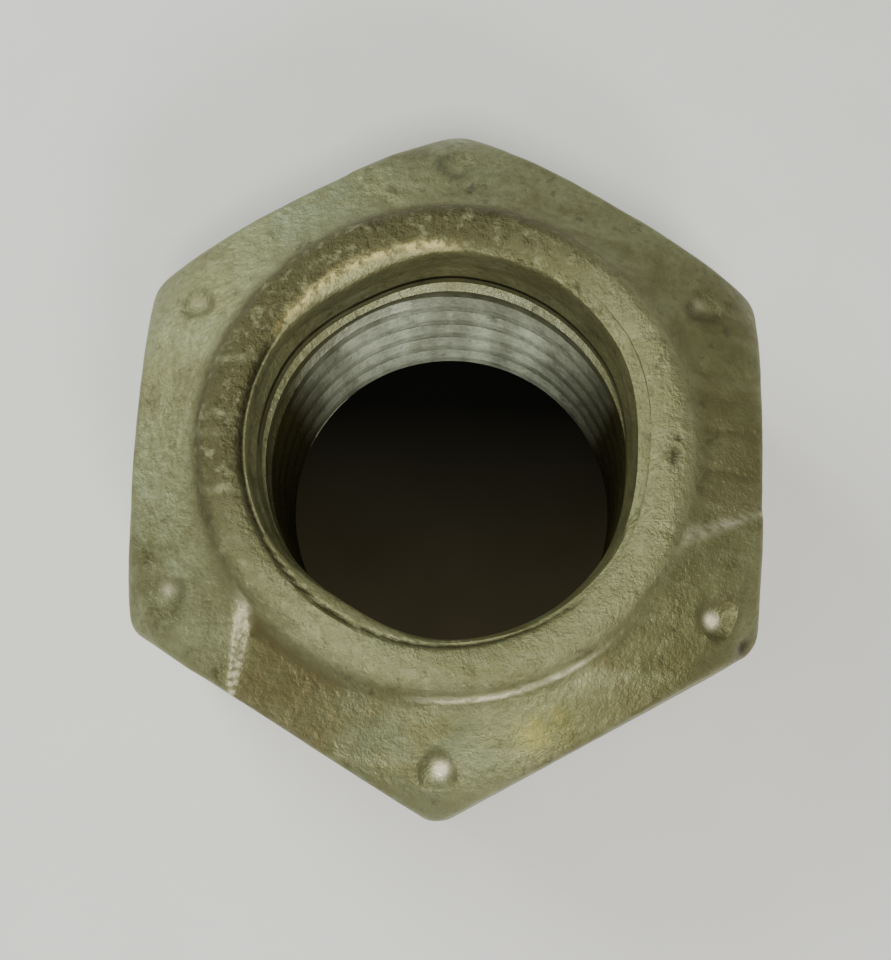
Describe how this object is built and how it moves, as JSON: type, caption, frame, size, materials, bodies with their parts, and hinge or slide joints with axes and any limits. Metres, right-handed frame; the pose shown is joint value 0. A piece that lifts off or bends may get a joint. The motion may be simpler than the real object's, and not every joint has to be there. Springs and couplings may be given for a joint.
{
  "type": "hex lock nut",
  "caption": "One-piece all-metal hex lock nut with a conical top, a rounded collar, a squeezed thread mouth and corner grade dimples.",
  "frame": {"origin": "on the thread's axis, at the bearing face", "axes": "+Z along the thread's axis, from the bearing face to the collar; +X square to a flat that has a crimp; +Y through a corner"},
  "size_m": [0.0142, 0.0164, 0.0088],
  "materials": {
    "plated_steel": "dull olive-yellow passivated zinc plating over cold-forged steel, slightly grainy and stained"
  },
  "bodies": {
    "root": {"nut_body": "plated_steel"}
  },
  "joints": []
}
